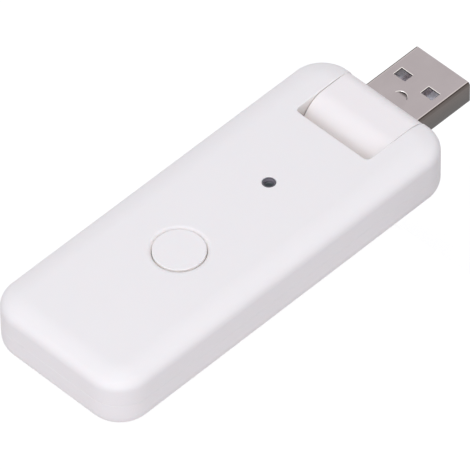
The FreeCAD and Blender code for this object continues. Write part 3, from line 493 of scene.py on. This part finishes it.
builtMaterials = {
    "casingAbsMoulded": (mouldedAbs, casingPlastic),
    "headAbsMoulded": (mouldedAbs, headPlastic),
    "buttonAbsMoulded": (mouldedAbs, buttonPlastic),
    "nickelSteelRolled": (rolledNickelSteel, plugSteel),
    "smokedAcrylicPolished": (smokedAcrylic, lightPipe),
    "nickelGoldTipped": (goldTippedNickel, contactMetal),
    "greenMaskCoated": (solderMask, mainBoardMask),
    "blueMaskCoated": (solderMask, moduleMask),
    "capacitorCeramicFired": (tinnedCeramic, capacitors),
    "resistorCeramicFired": (tinnedCeramic, resistors),
}
finishes = {name: plainSurface(name, values) for name, values in plainMaterials.items()}
for name, (make, values) in builtMaterials.items():
    finishes[name] = make(name, values)
print("materials made:", len(finishes))

nodeFinishes = {
    "casingAbsMoulded": ("top_shell", "bottom_shell"),
    "headAbsMoulded": ("head_lower", "head_upper"),
    "buttonAbsMoulded": ("button_cap",),
    "smokedAcrylicPolished": ("light_pipe",),
    "nickelSteelRolled": ("usb_shell",),
    "pbtMoulded": ("usb_insulator",),
    "goldPlated": ("aerial_track",),
    "nickelGoldTipped": ("power_contact", "data_minus_contact", "data_plus_contact", "ground_contact"),
    "greenMaskCoated": ("main_board", "plug_board"),
    "blueMaskCoated": ("radio_board",),
    "epoxyMoulded": ("usb_bridge_chip", "flash_memory", "voltage_regulator", "radio_chip", "switch_base"),
    "ferriteFired": ("ferrite_bead",),
    "tinPlated": ("shield_can", "crystal_can", "switch_cover", "flash_legs"),
    "springSteelRolled": ("switch_dome",),
    "amberEpoxyMoulded": ("tantalum_capacitor",),
    "capacitorCeramicFired": ("ceramic_capacitors",),
    "resistorCeramicFired": ("chip_resistors",),
    "phosphorCast": ("status_led",),
    "acetalMoulded": ("switch_plunger", "friction_washer_left", "friction_washer_right"),
    "redVinylDrawn": ("head_power_wire", "case_power_wire"),
    "whiteVinylDrawn": ("head_data_minus_wire", "case_data_minus_wire"),
    "greenVinylDrawn": ("head_data_plus_wire", "case_data_plus_wire"),
    "blackVinylDrawn": ("head_ground_wire", "case_ground_wire"),
}
for finish, names in nodeFinishes.items():
    for name in names:
        for holder in nodes[name].material_slots:
            holder.material = finishes[finish]
print("nodes dressed:", sum(len(names) for names in nodeFinishes.values()))

# The plug's shell again: bevelled rims round the windows and the latch in painted highlight, cut walls in
# painted shade, inside faces painted brighter as painted light
plugShell = {
    "body": "plug_head", "slot": "plated_steel", "rimMm": 0.08,
    "sideMm": 0.9, "endMm": 0.5,  # the openings are farther than this from the shell's sides and ends
    "levelMm": 0.002, "uprightDeg": 60, "uprightNormal": 0.3,  # what counts as on the top face, and as a wall
    "sheetMm": 0.25,  # a face deeper than this is inside the shell
    "weldMm": 0.0005, "flatDeg": 1, "smoothDeg": 30,
}
shellFinishes = ("nickelSteelRolled", "nickelSteelPaintedLight", "steelCutPaintedShade")
paintedLight, cut = 1, 2  # their places among those


def plugShellWithRims(values):
    low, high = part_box("usb_shell")
    side, end, sheet = values["sideMm"] * mm, values["endMm"] * mm, values["sheetMm"] * mm
    mesh = bpy.data.meshes.new("plugShell")
    work = bmesh.new()
    work.from_mesh(nodes["usb_shell"].data)
    bmesh.ops.remove_doubles(work, verts=work.verts, dist=values["weldMm"] * mm)
    bmesh.ops.dissolve_limit(
        work, angle_limit=math.radians(values["flatDeg"]), verts=work.verts, edges=work.edges,
    )

    def punched(edge):
        # an edge of the top face, inside its outline, with a wall that goes straight down
        ends = [v.co for v in edge.verts]
        onTop = all(abs(co.z - high.z) < values["levelMm"] * mm for co in ends)
        inside = all(abs(co.y) < high.y - side and low.x + end < co.x < high.x - end for co in ends)
        upright = edge.is_manifold and edge.calc_face_angle() > math.radians(values["uprightDeg"])
        return onTop and inside and upright

    rims = [edge for edge in work.edges if punched(edge)]
    bmesh.ops.bevel(
        work, geom=rims, offset=values["rimMm"] * mm, segments=1, profile=0.5, affect="EDGES",
        clamp_overlap=False, material=paintedLight,
    )
    bmesh.ops.triangulate(work, faces=work.faces)
    for face in work.faces:
        face.smooth = True
        middle, upright = face.calc_center_median(), abs(face.normal.z) < values["uprightNormal"]
        if abs(middle.y) < high.y - sheet and low.z + sheet < middle.z < high.z - sheet:
            # painted light: the inside faces are painted brighter than the sheet's face
            face.material_index = paintedLight
        elif upright and abs(middle.y) < high.y - side and middle.x < high.x - end:
            # the windows' cut walls, painted dark as painted shade
            face.material_index = cut
    for edge in work.edges:
        edge.smooth = edge.is_manifold and edge.calc_face_angle() < math.radians(values["smoothDeg"])
    work.to_mesh(mesh)
    work.free()
    for finish in shellFinishes:
        mesh.materials.append(finishes[finish])
    piece = newObject("plugShell", mesh)
    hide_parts("usb_shell")
    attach(piece, values["body"])
    return len(rims)


print("plug shell made, punched edges:", plugShellWithRims(plugShell))

# The switch's snap dome again, welded, with the share of its height that the button's travel would leave
snapDome = {
    "travelMm": 0.25, "joint": "button_press", "body": "casing", "slot": "spring_steel", "weldMm": 0.001,
}


def domeThatFlattens(values):
    low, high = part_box("switch_dome")
    mesh = nodes["switch_dome"].data.copy()
    work = bmesh.new()
    work.from_mesh(mesh)
    bmesh.ops.remove_doubles(work, verts=work.verts, dist=values["weldMm"] * mm)
    work.to_mesh(mesh)
    work.free()
    piece = newObject("snapDome", mesh)
    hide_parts("switch_dome")
    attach(piece, values["body"])
    kept = 1 - values["travelMm"] * mm / (high.z - low.z)
    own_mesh(piece)
    return round(kept, 2)


print("snap dome made, share of its height kept when pressed:", domeThatFlattens(snapDome))

# The wires' head ends again, as tubes made of rings along their length, inside the hinge's journal
twistingWires = {
    "pieces": {
        "powerWireEnd": ("head_power_wire", "red_insulation"),
        "dataMinusWireEnd": ("head_data_minus_wire", "white_insulation"),
        "dataPlusWireEnd": ("head_data_plus_wire", "green_insulation"),
        "groundWireEnd": ("head_ground_wire", "black_insulation"),
    },
    "ringMm": 0.15, "sides": 32, "twistMm": 2.0,
}


def wireThatTwists(name, node, values):
    low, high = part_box(node)
    middle, radius = (low + high) / 2, (high.x - low.x) / 2
    rings = round((high.y - low.y) / (values["ringMm"] * mm))
    turns = [2 * math.pi * i / values["sides"] for i in range(values["sides"])]
    work = bmesh.new()
    loops = []
    for step in range(rings + 1):
        y = low.y + (high.y - low.y) * step / rings
        loops.append([
            work.verts.new((middle.x + radius * math.cos(t), y, middle.z + radius * math.sin(t)))
            for t in turns
        ])
    for first, second in zip(loops, loops[1:]):
        for i in range(len(turns)):
            following = (i + 1) % len(turns)
            face = work.faces.new((first[i], second[i], second[following], first[following]))
            face.smooth = True
    work.faces.new(loops[0])
    work.faces.new(list(reversed(loops[-1])))
    bmesh.ops.recalc_face_normals(work, faces=work.faces)
    mesh = bpy.data.meshes.new(name)
    work.to_mesh(mesh)
    work.free()
    mesh.materials.append(nodes[node].data.materials[0])
    piece = newObject(name, mesh)
    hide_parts(node)
    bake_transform(piece)


for name, (node, slot) in twistingWires["pieces"].items():
    wireThatTwists(name, node, twistingWires)
print("twisting wires made:", len(twistingWires["pieces"]))


def seenDirectly(tree):
    # 1 for what the camera sees, also mirrored or through a clear piece, and 0 for light on the object
    rays = addNode(tree, "ShaderNodeLightPath")
    seen = rays.outputs["Is Camera Ray"]
    for ray in ("Is Glossy Ray", "Is Transmission Ray"):
        seen = addNode(tree, "ShaderNodeMath", {"operation": "MAXIMUM"}, {
            0: seen, 1: rays.outputs[ray],
        }).outputs["Value"]
    return seen


# Floor and world: white to the camera and to reflections, plain studio light to everything else.
# The floor is one sheet of paper that bends down under the stick, so that the plug can fold down past it.
floor = {
    "halfSizeM": 3.0, "dropMm": 0.02, "edgeMm": 16.5, "bendMm": 4.5, "bendSteps": 12, "depthMm": 30.0,
    "bounceHex": "#CBC6C8", "ownWhite": 0.92, "shadowHex": "#6E6E6E",
}


def makeFloor(values):
    half, drop, edge = values["halfSizeM"], -values["dropMm"] * mm, values["edgeMm"] * mm
    bend, depth, steps = values["bendMm"] * mm, values["depthMm"] * mm, values["bendSteps"]
    # the sheet's side view: flat, a round bend down, a round bend out, flat again
    turns = [math.pi / 2 * i / steps for i in range(steps + 1)]
    outline = [(-half, drop)] + [(edge + bend * math.sin(t), drop - bend * (1 - math.cos(t))) for t in turns]
    outline += [
        (edge + bend * (2 - math.cos(t)), drop - depth + bend * (1 - math.sin(t))) for t in turns
    ] + [(half, drop - depth)]
    mesh = bpy.data.meshes.new("studioFloor")
    corners = [(x, y, z) for y in (-half, half) for x, z in outline]
    count = len(outline)
    mesh.from_pydata(corners, [], [(i, i + 1, count + i + 1, count + i) for i in range(count - 1)])
    material, tree = newMaterial("floorPaperMatt")
    bounce, shadow = [
        addNode(tree, "ShaderNodeBsdfDiffuse", None, {"Color": linear(values[tone])}).outputs["BSDF"]
        for tone in ("bounceHex", "shadowHex")
    ]
    glow = addNode(tree, "ShaderNodeEmission", None, {"Color": plainWhite, "Strength": values["ownWhite"]})
    paper = addNode(tree, "ShaderNodeAddShader", None, {0: glow.outputs["Emission"], 1: shadow})
    surface = addNode(tree, "ShaderNodeMixShader", None, {
        0: seenDirectly(tree), 1: bounce, 2: paper.outputs["Shader"],
    })
    addNode(tree, "ShaderNodeOutputMaterial", None, {"Surface": surface.outputs["Shader"]})
    mesh.materials.append(material)
    newObject("studioFloor", mesh)


makeFloor(floor)

studioWorld = {"lightHex": "#F4F5FF", "level": 0.5}


def makeWorld(values):
    world = bpy.data.worlds.new("studioWorld")
    world.use_nodes = True
    tree = world.node_tree
    tree.nodes.clear()
    room = addNode(tree, "ShaderNodeBackground", None, {
        "Color": linear(values["lightHex"]), "Strength": values["level"],
    })
    backdrop = addNode(tree, "ShaderNodeBackground", None, {"Color": plainWhite, "Strength": 1.0})
    both = addNode(tree, "ShaderNodeMixShader", None, {
        0: seenDirectly(tree), 1: room.outputs["Background"], 2: backdrop.outputs["Background"],
    })
    addNode(tree, "ShaderNodeOutputWorld", None, {"Surface": both.outputs["Shader"]})
    bpy.context.scene.world = world


makeWorld(studioWorld)

softBoxes = {
    # straight above the object
    "topBox": {"placeM": (0.0, 0.0, 0.95), "sizeM": 0.6, "watts": 2.7, "hex": "#F4F5FF"},
    # above the short end, and low beside the camera, for the two sides that the camera sees
    "endBox": {"placeM": (-0.62, 0.0, 0.72), "sizeM": 0.6, "watts": 1.62, "hex": "#F4F5FF"},
    "cameraBox": {"placeM": (-0.65, -0.65, 0.25), "sizeM": 0.6, "watts": 2.95, "hex": "#F4F5FF"},
}


def makeSoftBox(name, values):
    lamp = bpy.data.lights.new(name, "AREA")
    lamp.size = values["sizeM"]
    lamp.energy = values["watts"]
    lamp.color = linear(values["hex"])[:3]
    holder = newObject(name, lamp)
    holder.location = values["placeM"]
    holder.rotation_mode = "QUATERNION"
    holder.rotation_quaternion = Vector(values["placeM"]).to_track_quat("Z", "Y")


for name, values in softBoxes.items():
    makeSoftBox(name, values)
print("studio lit:", len(softBoxes), "soft boxes")

# Camera: a long lens from far off, so that the stick's long edges stay nearly parallel
viewpoint = {
    "lensMm": 763.3, "azimuthDeg": -44.82, "elevationDeg": 47.41, "rollDeg": -0.84,
    "aimMm": (-4.033, -0.659, 5.273), "distanceMm": 1571.7, "clipM": (0.05, 20),
}


def makeCamera(values):
    around, above = math.radians(values["azimuthDeg"]), math.radians(values["elevationDeg"])
    level = math.cos(above)
    back = Vector((math.sin(around) * level, -math.cos(around) * level, math.sin(above)))
    camera = newObject("camera", bpy.data.cameras.new("camera"))
    camera.data.lens = values["lensMm"]
    camera.data.clip_start, camera.data.clip_end = values["clipM"]
    camera.location = Vector(values["aimMm"]) * mm + back * values["distanceMm"] * mm
    camera.rotation_mode = "QUATERNION"
    roll = Quaternion((0, 0, 1), math.radians(values["rollDeg"]))
    camera.rotation_quaternion = back.to_track_quat("Z", "Y") @ roll
    bpy.context.scene.camera = camera


makeCamera(viewpoint)
bpy.context.scene.view_settings.view_transform = "Standard"
print("camera set")
